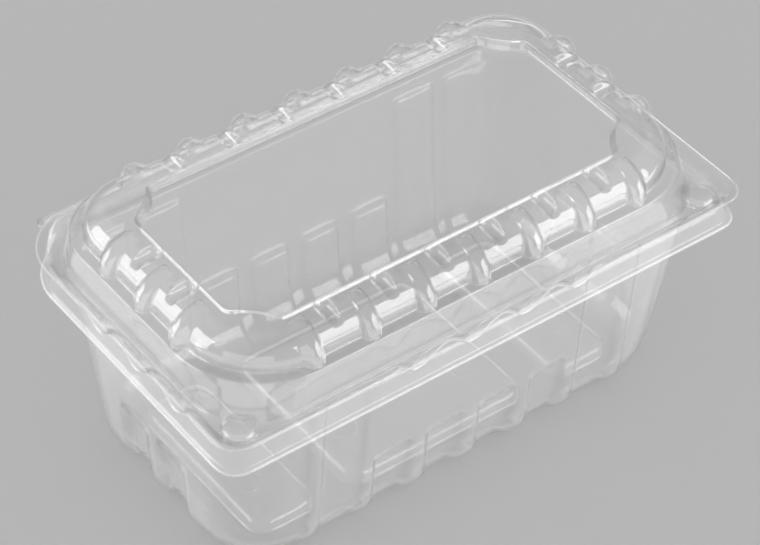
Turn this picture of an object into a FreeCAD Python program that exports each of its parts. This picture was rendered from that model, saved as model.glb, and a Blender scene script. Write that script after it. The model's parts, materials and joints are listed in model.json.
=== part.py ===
"""Clear thermoformed fruit punnet: a deep base tray and a domed lid that share one hinged sheet.

Millimetres, +Z up, +X along the length, the hinge at +Y.  The origin is the bottom centre.
Each half is a sheet shell: an outer form, less the same form drawn in by the sheet thickness.
Distances called "out" are measured outwards from the lid's shoulder ledge.
"""
import FreeCAD, Part
import math
import os
from FreeCAD import Vector

# ---------------------------------------------------------------- driving dimensions
SHEET = 0.4                  # wall thickness of the formed sheet
PITCH = 19.2                 # spacing of the ribs along the long sides
LEDGE_X, LEDGE_Y = 86.7, 49.1    # half-lengths of the lid's shoulder ledge
LEDGE_Z = 78.7
MATING_Z = 67.0              # the plane where lid and tray meet
RING_Z = 88.1                # flat top of the raised ring
PANEL_Z = 85.2               # sunk panel inside the ring
NEST_GAP = 0.2               # between the two flanges when shut

# lid
LEDGE_RADIUS, LEDGE_HINGE_RADIUS = 29.0, 22.0
SKIRT_OUT, SKIRT_RADIUS, SKIRT_HINGE_RADIUS = 0.9, 21.0, 19.0
CROWN_OUT = -3.65            # wall of the crown, inside the ledge
CROWN_ROUND = 6.45           # rounding from the wall to the ring
PANEL_X, PANEL_Y = 70.2, 32.6    # half-lengths of the sunk panel
PANEL_FLARE = 0.9            # how far its wall leans out by the ring top
PANEL_PAD = 11.0             # size of the pad that cuts off each panel corner
PANEL_PAD_BULGE = 4.2        # how far the pad's arc stands in from the panel corner
OVERRUN = 3.0                # how far cutting tools run past the surface they cut
RIB_WIDTH, RIB_CROWN_WIDTH = 7.5, 3.4
RIB_SHOULDER = 1.9           # how far the crown stands above the rib's side walls
RIB_CENTRE_OUT, RIB_CENTRE_Z = -9.6, 80.2    # line that each rib rolls about
RIB_REACH = 9.3              # from that line to the rib's crown
RIB_SWEEP = 105              # degrees, from the ledge to the end on the ring top
RIB_STEM = 2.7
RIBS_PER_LONG_SIDE, RIBS_PER_SHORT_SIDE = 7, 3
SHORT_SIDE_PITCH = 17.6
DENT_WIDTH = 4.8
DENT_FROM_OUT, DENT_TO_OUT = -14.2, -4.2
DENT_FLOOR_Z = 85.8

# lid flange: plateau, rising rim, lip
FLANGE_RADIUS, FLANGE_HINGE_RADIUS = 7.0, 20.0
PLATEAU_OUT = 1.3
RIM_OUT, RIM_RISE = 4.7, 3.4
LIP_OUT, LIP_RISE = 6.7, 3.8
WAVE_UP, WAVE_DOWN = 2.0, 2.7    # vent waves of the lip
LONG_WAVE_CENTRE, LONG_WAVE_DIPS = 0.0, 4
SHORT_WAVE_CENTRE, SHORT_WAVE_DIPS = -10.6, 3
SNAP_X, SNAP_Y = 82.9, -45.8     # snap buttons in the two front corners
SNAP_RADIUS, SNAP_HEIGHT = 5.3, 2.5
SNAP_CLEARANCE = 0.25

# tray
TRAY_TOP_Z = MATING_Z - NEST_GAP
TRAY_TOP_OUT, TRAY_FOOT_OUT = -0.7, -5.2
TRAY_TOP_RADIUS = 17.0
FOOT_ROUND = 7.0
TRAY_PLATEAU_OUT = 1.5
TRAY_FOLD_OUT, TRAY_FOLD_DROP = 4.2, 5.3
TRAY_LIP_OUT, TRAY_LIP_DROP = 6.1, 7.0
LOW_PANEL_TOP, LOW_PANEL_WIDTH, LOW_PANEL_DEPTH = 26.0, 12.7, 2.2
TALL_PANEL_TOP, TALL_PANEL_DEPTH = 62.0, 1.2
TALL_PANEL_SPANS = ((40.0, 54.5), (59.5, 74.0))
PAD_HEIGHT = 4.4
PAD_Y = 30.9
PAD_SPANS = ((-67.2, -45.1), (-33.2, 33.2), (45.1, 67.2))
PAD_RADIUS = 6.0
VENT_RADIUS = 3.5
VENTS = ((22.3, 13.0), (58.6, 14.0))

# hinge roll along the back edge
HINGE_RADIUS = 1.1
HINGE_HALF_LENGTH = 84.0
LEAF_OVERLAP = 0.6           # how far the hinge leaf runs in over the plateau
HINGE_Y = LEDGE_Y + LIP_OUT - HINGE_RADIUS
HINGE_Z = 70.0


# ---------------------------------------------------------------- outlines
def rounded_edges(half_x, half_y, z, radius, hinge_radius=None):
    """Lines and arcs of a rounded rectangle, from the front left corner's end, anticlockwise.

    Order: front, front right arc, right, back right arc, back, back left arc, left, front left arc.
    """
    back = radius if hinge_radius is None else hinge_radius
    corners = (
        (half_x - radius, -half_y + radius, radius, -90),
        (half_x - back, half_y - back, back, 0),
        (-half_x + back, half_y - back, back, 90),
        (-half_x + radius, -half_y + radius, radius, 180),
    )
    arcs = []
    for centre_x, centre_y, corner_radius, start in corners:
        points = []
        for angle in (start, start + 45, start + 90):
            turn = math.radians(angle)
            points.append(Vector(
                centre_x + corner_radius * math.cos(turn),
                centre_y + corner_radius * math.sin(turn),
                z,
            ))
        arcs.append(points)
    edges = []
    for index, arc in enumerate(arcs):
        start_of_line = arcs[index - 1][2]
        edges.append(Part.LineSegment(start_of_line, arc[0]).toShape())
        edges.append(Part.Arc(*arc).toShape())
    return edges


def rounded_wire(half_x, half_y, z, radius, hinge_radius=None):
    return Part.Wire(rounded_edges(half_x, half_y, z, radius, hinge_radius))


def prism(wire, height):
    return Part.Face(wire).extrude(Vector(0, 0, height))


def around(shape, angle):
    """The shape turned about the vertical axis."""
    turned = shape.copy()
    turned.rotate(Vector(0, 0, 0), Vector(0, 0, 1), angle)
    return turned


# ---------------------------------------------------------------- places of the repeats
def sides():
    """Turn angle, ledge distance, rib places and dent places of the four sides."""
    long_ribs = [(i - (RIBS_PER_LONG_SIDE - 1) / 2) * PITCH for i in range(RIBS_PER_LONG_SIDE)]
    short_ribs = [
        (i - (RIBS_PER_SHORT_SIDE - 1) / 2) * SHORT_SIDE_PITCH for i in range(RIBS_PER_SHORT_SIDE)
    ]
    long_dents = [(a + b) / 2 for a, b in zip(long_ribs, long_ribs[1:])]
    short_dents = [(a + b) / 2 for a, b in zip(short_ribs, short_ribs[1:])]
    return (
        (0, LEDGE_Y, long_ribs, long_dents),
        (90, LEDGE_X, short_ribs, short_dents),
        (180, LEDGE_Y, long_ribs, long_dents),
        (270, LEDGE_X, short_ribs, short_dents),
    )


# ---------------------------------------------------------------- lid
def rib(place, ledge, offset):
    """One rib on the front side: it stands up from the ledge, then rolls over on to the ring top."""
    half = RIB_WIDTH / 2 - offset
    flat = RIB_CROWN_WIDTH / 2 - offset * 0.5
    reach = RIB_REACH - offset
    axis_y = -(ledge + RIB_CENTRE_OUT)
    section = [
        Vector(-half, 0, 0), Vector(-half, reach - RIB_SHOULDER, 0), Vector(-flat, reach, 0),
        Vector(flat, reach, 0), Vector(half, reach - RIB_SHOULDER, 0), Vector(half, 0, 0),
    ]
    face = Part.Face(Part.makePolygon(section + section[:1]))
    face.rotate(Vector(0, 0, 0), Vector(0, 0, 1), 180)
    face.translate(Vector(place, axis_y, RIB_CENTRE_Z))
    axis_point = Vector(place, axis_y, RIB_CENTRE_Z)
    rolled = face.revolve(axis_point, Vector(-1, 0, 0), RIB_SWEEP)
    stem = face.extrude(Vector(0, 0, -RIB_STEM))
    return rolled.fuse(stem)


def dent(place, ledge, offset):
    """Slot-shaped tool for one finger dent across the ring, on the front side."""
    half = DENT_WIDTH / 2 + offset
    outer_y = -(ledge + DENT_TO_OUT) - offset + half
    inner_y = -(ledge + DENT_FROM_OUT)
    floor_z = DENT_FLOOR_Z - offset
    left, right = place - half, place + half
    wire = Part.Wire([
        Part.Arc(
            Vector(left, outer_y, floor_z), Vector(place, outer_y - half, floor_z),
            Vector(right, outer_y, floor_z),
        ).toShape(),
        Part.LineSegment(Vector(right, outer_y, floor_z), Vector(right, inner_y, floor_z)).toShape(),
        Part.Arc(
            Vector(right, inner_y, floor_z), Vector(place, inner_y + half, floor_z),
            Vector(left, inner_y, floor_z),
        ).toShape(),
        Part.LineSegment(Vector(left, inner_y, floor_z), Vector(left, outer_y, floor_z)).toShape(),
    ])
    return prism(wire, RING_Z + OVERRUN - floor_z)


def panel_wire(half_x, half_y, z):
    """Outline of the sunk panel: a rectangle whose corners are cut off by bulging pads."""
    pad = PANEL_PAD
    bulge = PANEL_PAD_BULGE
    edges = []
    quadrants = ((1, -1), (1, 1), (-1, 1), (-1, -1))
    arcs = []
    for sign_x, sign_y in quadrants:
        on_x_side = Vector(sign_x * half_x, sign_y * (half_y - pad), z)
        on_y_side = Vector(sign_x * (half_x - pad), sign_y * half_y, z)
        middle = Vector(sign_x * (half_x - pad + bulge), sign_y * (half_y - pad + bulge), z)
        turning = (on_y_side, middle, on_x_side) if sign_x * sign_y < 0 else (on_x_side, middle, on_y_side)
        arcs.append(turning)
    for index, arc in enumerate(arcs):
        edges.append(Part.LineSegment(arcs[index - 1][2], arc[0]).toShape())
        edges.append(Part.Arc(*arc).toShape())
    return Part.Wire(edges)


def lid_form(offset):
    """Solid under the lid's outer skin, or under its inner skin when offset is the sheet thickness."""
    base_z = MATING_Z if offset == 0 else MATING_Z - 1
    skirt = Part.makeLoft([
        rounded_wire(LEDGE_X + SKIRT_OUT - offset, LEDGE_Y + SKIRT_OUT - offset, base_z,
                     SKIRT_RADIUS - offset, SKIRT_HINGE_RADIUS - offset),
        rounded_wire(LEDGE_X - offset, LEDGE_Y - offset, LEDGE_Z - offset,
                     LEDGE_RADIUS - offset, LEDGE_HINGE_RADIUS - offset),
    ], True, True)
    crown_inset = CROWN_OUT - offset
    crown = prism(rounded_wire(
        LEDGE_X + crown_inset, LEDGE_Y + crown_inset, LEDGE_Z - 2,
        LEDGE_RADIUS + crown_inset, LEDGE_HINGE_RADIUS + crown_inset,
    ), RING_Z - offset - LEDGE_Z + 2)
    top_edges = [edge for edge in crown.Edges if edge.BoundBox.ZMin > RING_Z - offset - 0.01]
    crown = crown.makeFillet(CROWN_ROUND - offset, top_edges)
    ribs, dents = [], []
    for angle, ledge, rib_places, dent_places in sides():
        ribs += [around(rib(place, ledge, offset), angle) for place in rib_places]
        dents += [around(dent(place, ledge, offset), angle) for place in dent_places]
    form = skirt.multiFuse([crown] + ribs)
    panel = Part.makeLoft([
        panel_wire(PANEL_X + offset, PANEL_Y + offset, PANEL_Z - offset),
        panel_wire(PANEL_X + offset + PANEL_FLARE, PANEL_Y + offset + PANEL_FLARE, RING_Z + OVERRUN),
    ], True, True)
    return form.cut([panel] + dents)


def flute(along, top_slope, radius, start_out, start_z, ledge, hollow):
    """Round bar that lies across the rim of the front side and climbs outwards.

    Its crown, or its underside when hollow, starts at the plateau edge.
    """
    direction = Vector(0, -1, top_slope)
    length = 3 * LIP_OUT
    lift = radius if hollow else -radius
    normal = Vector(0, top_slope, 1)
    normal.normalize()
    start = Vector(along, -(ledge + start_out), start_z) + normal * lift
    bar = Part.makeCylinder(radius, length, start, direction)
    keep = Part.makeBox(4 * radius, LIP_OUT, 4 * radius,
                        Vector(along - 2 * radius, -(ledge + start_out + LIP_OUT), MATING_Z))
    return bar.common(keep)


def wave_radius(rise):
    """Radius of the round bar whose chord is half a pitch wide at that rise."""
    half_chord = PITCH / 4
    return (half_chord ** 2 + rise ** 2) / (2 * rise)


def waves():
    """Bars that make the arches and the dips of the waved lip."""
    arches, dips = [], []
    run = LIP_OUT - PLATEAU_OUT
    arch_slope = (LIP_RISE + WAVE_UP) / run
    dip_slope = (LIP_RISE - WAVE_DOWN) / run
    for turn, ledge, centre, count in (
        (0, LEDGE_Y, LONG_WAVE_CENTRE, LONG_WAVE_DIPS),
        (270, LEDGE_X, SHORT_WAVE_CENTRE, SHORT_WAVE_DIPS),
    ):
        for index in range(count):
            place = (index - (count - 1) / 2) * PITCH
            if turn:
                place -= centre
            else:
                place += centre
            dips.append(around(flute(place, dip_slope, wave_radius(WAVE_DOWN), PLATEAU_OUT,
                                     MATING_Z, ledge, True), turn))
            if index + 1 < count:
                arches.append(around(flute(place + PITCH / 2, arch_slope, wave_radius(WAVE_UP),
                                           PLATEAU_OUT, MATING_Z, ledge, False), turn))
    return arches, dips


def outline_at(out, z, radius=FLANGE_RADIUS, hinge_radius=FLANGE_HINGE_RADIUS):
    """Flange outline at a distance out from the ledge."""
    return rounded_wire(LEDGE_X + out, LEDGE_Y + out, z, radius, hinge_radius)


def lid_flange():
    """Plateau, rising rim and waved lip: what stands over the flange, less the same a sheet higher."""
    top = LIP_RISE + OVERRUN
    rim = Part.makeLoft([outline_at(PLATEAU_OUT, MATING_Z), outline_at(RIM_OUT, MATING_Z + RIM_RISE)],
                        True, True)
    lip = Part.makeLoft([outline_at(RIM_OUT, MATING_Z + RIM_RISE),
                         outline_at(LIP_OUT, MATING_Z + LIP_RISE)], True, True)
    above = prism(outline_at(LIP_OUT, MATING_Z + LIP_RISE), top - LIP_RISE)
    arches, dips = waves()
    column = prism(outline_at(LIP_OUT, MATING_Z), top)
    air = rim.multiFuse([lip, above] + [dip.common(column) for dip in dips]).cut(arches)
    raised = air.copy()
    raised.translate(Vector(0, 0, SHEET))
    flange = air.cut(raised)
    at_roll = Part.makeBox(2 * LEDGE_X, LIP_OUT, LIP_OUT,
                           Vector(-LEDGE_X, HINGE_Y - HINGE_RADIUS - NEST_GAP, MATING_Z + SHEET))
    return flange.cut(at_roll)


def snap_dome(radius, height, base_z, x, y):
    """Low dome: a spherical cap standing on the plane at base_z."""
    sphere_radius = (radius ** 2 + height ** 2) / (2 * height)
    ball = Part.makeSphere(sphere_radius, Vector(x, y, base_z + height - sphere_radius))
    keep = Part.makeBox(4 * radius, 4 * radius, 2 * height,
                        Vector(x - 2 * radius, y - 2 * radius, base_z))
    return ball.common(keep)


def snap_domes(radius, height, base_z):
    return [snap_dome(radius, height, base_z, sign * SNAP_X, SNAP_Y) for sign in (-1, 1)]


def make_lid():
    shell = lid_form(0).fuse(lid_flange())
    shell = shell.multiFuse(snap_domes(SNAP_RADIUS, SNAP_HEIGHT, MATING_Z))
    hollows = snap_domes(SNAP_RADIUS - SHEET, SNAP_HEIGHT - SHEET, MATING_Z - 0.01)
    return shell.cut([lid_form(SHEET)] + hollows).removeSplitter()


# ---------------------------------------------------------------- tray
def tray_body(inset, offset):
    """Tapered tub with a rounded foot, drawn in by inset at the sides only and by offset all round."""
    slope = (TRAY_TOP_OUT - TRAY_FOOT_OUT) / TRAY_TOP_Z
    top_z = TRAY_TOP_Z if offset == 0 else TRAY_TOP_Z + 1

    def outline(z):
        out = TRAY_FOOT_OUT + slope * z - inset - offset
        return rounded_wire(LEDGE_X + out, LEDGE_Y + out, z, TRAY_TOP_RADIUS + out - TRAY_TOP_OUT)

    tub = Part.makeLoft([outline(offset), outline(top_z)], True, True)
    foot = [edge for edge in tub.Edges if edge.BoundBox.ZMax < offset + 0.01]
    return tub.makeFillet(FOOT_ROUND - offset, foot)


def wall_box(along_from, along_to, ledge, depth, top_z, offset):
    """Box that marks one recessed panel on the front side."""
    out = TRAY_TOP_OUT + 1
    return Part.makeBox(
        along_to - along_from + 2 * offset, out - TRAY_FOOT_OUT + depth + 4, top_z + offset + 1,
        Vector(along_from - offset, -(ledge + out), -1),
    )


def wall_boxes(offset):
    """Boxes of the low panels and of the tall panels on all four sides."""
    low, tall = [], []
    half = LOW_PANEL_WIDTH / 2
    for turn, ledge, places in (
        (0, LEDGE_Y, (-1.5, -0.5, 0.5, 1.5)),
        (180, LEDGE_Y, (-1.5, -0.5, 0.5, 1.5)),
        (90, LEDGE_X, (-0.5, 0.5)),
        (270, LEDGE_X, (-0.5, 0.5)),
    ):
        for place in places:
            centre = place * PITCH
            box = wall_box(centre - half, centre + half, ledge, LOW_PANEL_DEPTH, LOW_PANEL_TOP, offset)
            low.append(around(box, turn))
    for turn in (0, 180):
        for near, far in TALL_PANEL_SPANS:
            for start, end in ((near, far), (-far, -near)):
                box = wall_box(start, end, LEDGE_Y, TALL_PANEL_DEPTH, TALL_PANEL_TOP, offset)
                tall.append(around(box, turn))
    return low, tall


def floor_pads(offset):
    """Raised pads of the floor, as tools that push it up from below."""
    pads = []
    for start, end in PAD_SPANS:
        half = (end - start) / 2 + offset
        outline = rounded_wire(half, PAD_Y + offset, -1, PAD_RADIUS + offset)
        pad = prism(outline, PAD_HEIGHT + offset + 1)
        pad.translate(Vector((start + end) / 2, 0, 0))
        pads.append(pad)
    return pads


def tray_form(offset):
    low, tall = wall_boxes(offset)
    plain = tray_body(0, offset).cut(low + tall)
    low_core = tray_body(LOW_PANEL_DEPTH, offset)
    tall_core = tray_body(TALL_PANEL_DEPTH, offset).common(Part.makeCompound(tall))
    return plain.multiFuse([low_core, tall_core]).cut(floor_pads(offset))


def tray_flange():
    """Plateau, down-turned skirt and lip: a cap, less the same a sheet lower."""
    fold_z = TRAY_TOP_Z - TRAY_FOLD_DROP
    lip_z = TRAY_TOP_Z - TRAY_LIP_DROP
    skirt = Part.makeLoft([outline_at(TRAY_FOLD_OUT, fold_z), outline_at(TRAY_PLATEAU_OUT, TRAY_TOP_Z)],
                          True, True)
    lip = Part.makeLoft([outline_at(TRAY_LIP_OUT, lip_z), outline_at(TRAY_FOLD_OUT, fold_z)], True, True)
    cap = skirt.fuse(lip)
    lowered = cap.copy()
    lowered.translate(Vector(0, 0, -SHEET))
    behind = Part.makeBox(2 * LEDGE_X, LIP_OUT, 2 * TRAY_LIP_DROP,
                          Vector(-LEDGE_X, LEDGE_Y + PLATEAU_OUT, TRAY_TOP_Z - 2 * TRAY_LIP_DROP))
    return cap.cut(lowered).cut(behind)


def hinge_leaf():
    """Strip that climbs from the tray's plateau under the lid's rim and curls into the hinge roll."""
    foot_y = LEDGE_Y + PLATEAU_OUT
    foot_z = TRAY_TOP_Z
    arrive = Vector(0, HINGE_Y - HINGE_RADIUS, HINGE_Z)
    points = [
        Vector(0, foot_y - LEAF_OVERLAP, foot_z), Vector(0, foot_y, foot_z), arrive,
        arrive + Vector(0, SHEET, 0), Vector(0, foot_y + SHEET * 0.4, foot_z - SHEET),
        Vector(0, foot_y - LEAF_OVERLAP, foot_z - SHEET),
    ]
    leaf = Part.Face(Part.makePolygon(points + points[:1])).extrude(Vector(2 * HINGE_HALF_LENGTH, 0, 0))
    leaf.translate(Vector(-HINGE_HALF_LENGTH, 0, 0))
    axis_start = Vector(-HINGE_HALF_LENGTH, HINGE_Y, HINGE_Z)
    roll = Part.makeCylinder(HINGE_RADIUS, 2 * HINGE_HALF_LENGTH, axis_start, Vector(1, 0, 0))
    bore = Part.makeCylinder(HINGE_RADIUS - SHEET, 2 * HINGE_HALF_LENGTH, axis_start, Vector(1, 0, 0))
    mouth = Part.makeBox(2 * HINGE_HALF_LENGTH, HINGE_RADIUS, HINGE_RADIUS,
                         axis_start + Vector(0, -HINGE_RADIUS, 0))
    return leaf.cut(bore).fuse(roll.cut([bore, mouth]))


def make_tray():
    shell = tray_form(0).multiFuse([tray_flange(), hinge_leaf()])
    studs = snap_domes(SNAP_RADIUS - SHEET - SNAP_CLEARANCE, SNAP_HEIGHT - SHEET, TRAY_TOP_Z)
    hollows = snap_domes(SNAP_RADIUS - 2 * SHEET - SNAP_CLEARANCE, SNAP_HEIGHT - 2 * SHEET,
                         TRAY_TOP_Z - 0.01)
    vents = [
        Part.makeCylinder(VENT_RADIUS, 4 * PAD_HEIGHT, Vector(sign_x * x, sign_y * y, -1))
        for x, y in VENTS for sign_x in (-1, 1) for sign_y in (-1, 1)
    ]
    return shell.multiFuse(studs).cut([tray_form(SHEET)] + hollows + vents).removeSplitter()


# ---------------------------------------------------------------- output
def main():
    os.makedirs("parts", exist_ok=True)
    for name, shape in (("base_tray", make_tray()), ("lid", make_lid())):
        solid = shape.Solids[0] if len(shape.Solids) == 1 else shape
        print(name, "valid", solid.isValid(), "solids", len(shape.Solids), "mm3", round(solid.Volume))
        solid.exportStep(f"parts/{name}.step")


if __name__ == "__main__":
    main()
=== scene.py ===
"""A clear hinged punnet: one formed sheet that makes a deep tray and a domed, ribbed lid."""
import json
import math

import bmesh
import bpy
import numpy as np
from mathutils import Matrix, Vector


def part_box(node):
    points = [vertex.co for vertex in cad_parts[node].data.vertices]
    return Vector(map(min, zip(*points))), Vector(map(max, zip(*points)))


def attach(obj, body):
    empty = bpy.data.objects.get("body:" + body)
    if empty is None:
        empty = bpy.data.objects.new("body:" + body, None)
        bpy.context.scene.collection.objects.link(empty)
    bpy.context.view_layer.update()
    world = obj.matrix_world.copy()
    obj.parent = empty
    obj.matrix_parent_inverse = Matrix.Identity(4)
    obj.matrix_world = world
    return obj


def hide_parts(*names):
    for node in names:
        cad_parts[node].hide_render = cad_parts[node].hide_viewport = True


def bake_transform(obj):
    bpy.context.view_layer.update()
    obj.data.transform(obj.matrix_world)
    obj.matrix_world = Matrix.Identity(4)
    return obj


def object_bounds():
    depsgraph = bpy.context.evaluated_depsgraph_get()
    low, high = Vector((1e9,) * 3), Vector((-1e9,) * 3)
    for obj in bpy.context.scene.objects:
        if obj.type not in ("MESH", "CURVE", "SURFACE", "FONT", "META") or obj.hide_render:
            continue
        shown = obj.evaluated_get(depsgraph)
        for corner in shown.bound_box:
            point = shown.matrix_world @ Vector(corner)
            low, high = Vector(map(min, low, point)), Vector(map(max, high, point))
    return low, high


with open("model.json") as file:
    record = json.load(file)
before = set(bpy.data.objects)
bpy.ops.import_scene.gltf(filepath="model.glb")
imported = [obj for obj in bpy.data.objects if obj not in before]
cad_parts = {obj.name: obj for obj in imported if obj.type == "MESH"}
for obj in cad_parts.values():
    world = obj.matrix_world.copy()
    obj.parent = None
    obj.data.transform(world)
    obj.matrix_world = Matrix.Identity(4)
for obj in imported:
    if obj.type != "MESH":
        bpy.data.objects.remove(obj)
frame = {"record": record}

bl_info = {
    "name": "Clear Hinged Punnet",
    "version": (1, 0, 0),
    "blender": (4, 5, 0),
    "location": "3D View > Sidebar > Punnet",
    "description": "Builds a thermoformed clear tray with a hinged, ribbed lid",
    "category": "Object",
}

MM = 0.001
CAD_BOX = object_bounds()
LID_LOW, LID_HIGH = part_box("lid")
HINGE = next(joint for joint in frame["record"]["behaviour"]["joints"] if joint["type"] == "hinge")

# Distances called "out" run outwards from the lid's shoulder ledge.
SHEET = 0.4 * MM
LIP_OUT = 6.7 * MM
LEDGE_X = LID_HIGH.x - LIP_OUT
LEDGE_Y = -LID_LOW.y - LIP_OUT
MATING_Z = LID_LOW.z
LEDGE_Z = MATING_Z + 11.7 * MM
PANEL_Z = MATING_Z + 18.2 * MM
RING_Z = MATING_Z + 21.1 * MM
PITCH = 19.2 * MM
SHORT_PITCH = 17.6 * MM


# ---------------------------------------------------------------- settings
def length(name, text, default, **limits):
    """A length property in metres."""
    return bpy.props.FloatProperty(
        name=name, description=text, default=default, subtype="DISTANCE", unit="LENGTH",
        precision=5, **limits)


def fraction(name, text, default):
    """A property from 0 to 1."""
    return bpy.props.FloatProperty(
        name=name, description=text, default=default, subtype="FACTOR", min=0, max=1)


def grey(name, text, default):
    """A colour property, grey unless a user changes it."""
    return bpy.props.FloatVectorProperty(
        name=name, description=text, default=(default,) * 3, subtype="COLOR", size=3, min=0, max=1)


class PunnetSheet(bpy.types.PropertyGroup):
    """Sizes of the formed sheet."""
    thickness: length("Sheet", "Thickness of the formed sheet", SHEET, min=0.1 * MM)
    rib_width: length("Rib width", "Width of each rib at its foot", 6.0 * MM)
    rib_out: length("Rib reach", "How far a rib stands out from the line it rolls about", 11.4 * MM)
    rib_up: length("Rib rise", "How far a rib stands up from the line it rolls about", 9.6 * MM)
    dent_width: length("Dent width", "Width of a finger dent across the ring", 4.8 * MM)
    wave_up: length("Arch rise", "Rise of the arches in the vented lip", 2.0 * MM)
    wave_down: length("Dip depth", "Depth of the dips in the vented lip", 2.7 * MM)
    panel_depth: length("Low panel depth", "Depth of the low panels in the tray wall", 2.2 * MM)
    tall_depth: length("Tall panel depth", "Depth of the tall panels in the tray wall", 1.2 * MM)
    pad_height: length("Floor pad height", "Rise of the pads in the tray floor", 4.4 * MM)


class PunnetLook(bpy.types.PropertyGroup):
    """Colours and light."""
    tint: grey("Tint", "Colour of light that passes the sheet", 0.99)
    haze: fraction("Haze", "Share of light that the lid scatters", 0.02)
    tray_haze: fraction("Tray haze", "Share of light that the tray scatters", 0.075)
    # Edge sets white on a lip's cut edge: partly the cut's own scatter, partly a painted highlight
    # for the bright line the edge catches.
    edge: fraction("Cut edge", "Share of light that the cut edge of a lip scatters", 0.2)
    # Outline sets painted shade: a grey filter that darkens the sheet where it is seen edge on.
    outline: fraction("Outline", "How far the sheet darkens where it is seen edge on", 0.85)
    floor: grey("Floor", "Colour of the floor and backdrop", 0.605)
    table: bpy.props.FloatProperty(
        name="Table glow", description="Brightness of the table where the sheet mirrors it",
        min=0, default=0.85)
    ripple: length("Ripple", "Height of the ripples left by forming", 0.02 * MM)


# ---------------------------------------------------------------- node maths
class Term:
    """A socket that can stand in an arithmetic expression."""

    def __init__(self, tree, socket):
        self.tree = tree
        self.socket = socket

    def maths(self, operation, *others):
        node = self.tree.nodes.new("ShaderNodeMath")
        node.operation = operation
        for place, value in enumerate((self, *others)):
            if isinstance(value, Term):
                self.tree.links.new(value.socket, node.inputs[place])
            else:
                node.inputs[place].default_value = value
        return Term(self.tree, node.outputs[0])

    def __add__(self, other):
        return self.maths("ADD", other)

    __radd__ = __add__

    def __mul__(self, other):
        return self.maths("MULTIPLY", other)

    __rmul__ = __mul__

    def __sub__(self, other):
        return self.maths("SUBTRACT", other)

    def __rsub__(self, other):
        return self.maths("MULTIPLY_ADD", -1.0, other)

    def __truediv__(self, other):
        return self.maths("DIVIDE", other)

    def __neg__(self):
        return self * -1.0

    def __pow__(self, other):
        return self.maths("POWER", other)

    def __abs__(self):
        return self.maths("ABSOLUTE")

    def least(self, other):
        return self.maths("MINIMUM", other)

    def most(self, other):
        return self.maths("MAXIMUM", other)

    def root(self):
        return self.most(0.0).maths("SQRT")

    def sine(self):
        return self.maths("SINE")

    def within(self, low, high):
        return self.most(low).least(high)

    def nearest(self, pitch, reach, shift=0.0):
        """Distance to the nearest of the repeats, a pitch apart, with reach of them each way."""
        turns = (self / pitch - shift).maths("ROUND")
        return self - (turns.within(-reach, reach - 2 * shift) + shift) * pitch

    def sign(self):
        return self.maths("SIGN")

    def ramp(self, low, high):
        """0 at low, 1 at high, with eased ends."""
        node = add_node(self.tree, "ShaderNodeMapRange", {"interpolation_type": "SMOOTHSTEP"},
                        Value=self, From_Min=low, From_Max=high)
        return Term(self.tree, node.outputs[0])


def add_node(tree, kind, settings=None, **sockets):
    """A node of a kind: its settings are made first, then the values or links of its sockets."""
    made = tree.nodes.new(kind)
    for key, value in (settings or {}).items():
        setattr(made, key, value)
    for key, value in sockets.items():
        socket = made.inputs[key.replace("_", " ")]
        value = value.socket if isinstance(value, Term) else value
        if isinstance(value, bpy.types.NodeSocket):
            tree.links.new(value, socket)
        else:
            socket.default_value = value
    return made


def mix_shaders(tree, factor, first, second):
    """Mix Shader that shows the first shader at 0 and the second at 1."""
    mix = add_node(tree, "ShaderNodeMixShader", Fac=factor)
    tree.links.new(first.outputs[0], mix.inputs[1])
    tree.links.new(second.outputs[0], mix.inputs[2])
    return mix


def rounded_positive(term, ease):
    """The term where it is positive, near nothing where it isn't, eased over a length."""
    return (term + (term * term + ease * ease).root()) * 0.5


class Press:
    """A geometry node tree that moves the points of a sheet by a rule."""

    def __init__(self, name, **sizes):
        self.tree = bpy.data.node_groups.new(name, "GeometryNodeTree")
        face = self.tree.interface
        face.new_socket("Geometry", in_out="INPUT", socket_type="NodeSocketGeometry")
        face.new_socket("Geometry", in_out="OUTPUT", socket_type="NodeSocketGeometry")
        self.sizes = sizes
        self.keys = {}
        for size_name in sizes:
            socket = face.new_socket(size_name, in_out="INPUT", socket_type="NodeSocketFloat")
            self.keys[size_name] = socket.identifier
        material = face.new_socket("Material", in_out="INPUT", socket_type="NodeSocketMaterial")
        self.material_key = material.identifier
        self.given = add_node(self.tree, "NodeGroupInput")
        self.last = self.given.outputs["Geometry"]

    def size(self, name):
        return Term(self.tree, self.given.outputs[name])

    def place(self):
        """X, Y and Z of each point."""
        position = add_node(self.tree, "GeometryNodeInputPosition")
        split = add_node(self.tree, "ShaderNodeSeparateXYZ", Vector=position.outputs[0])
        return [Term(self.tree, socket) for socket in split.outputs]

    def shift(self, x=None, y=None, z=None):
        """Moves every point by these terms."""
        moves = {axis: term for axis, term in zip("XYZ", (x, y, z)) if term is not None}
        join = add_node(self.tree, "ShaderNodeCombineXYZ", **moves)
        move = add_node(self.tree, "GeometryNodeSetPosition", Geometry=self.last,
                        Offset=join.outputs[0])
        self.last = move.outputs["Geometry"]

    def apply(self, piece, material):
        """Ends the tree and sets its inputs on a modifier of the piece."""
        real = add_node(self.tree, "GeometryNodeRealizeInstances", Geometry=self.last)
        wear = add_node(self.tree, "GeometryNodeSetMaterial", Geometry=real.outputs[0],
                        Material=self.given.outputs["Material"])
        add_node(self.tree, "NodeGroupOutput", Geometry=wear.outputs[0])
        modifier = piece.modifiers.new(self.tree.name, "NODES")
        modifier.node_group = self.tree
        for name, key in self.keys.items():
            modifier[key] = self.sizes[name]
        modifier[self.material_key] = material


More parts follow.
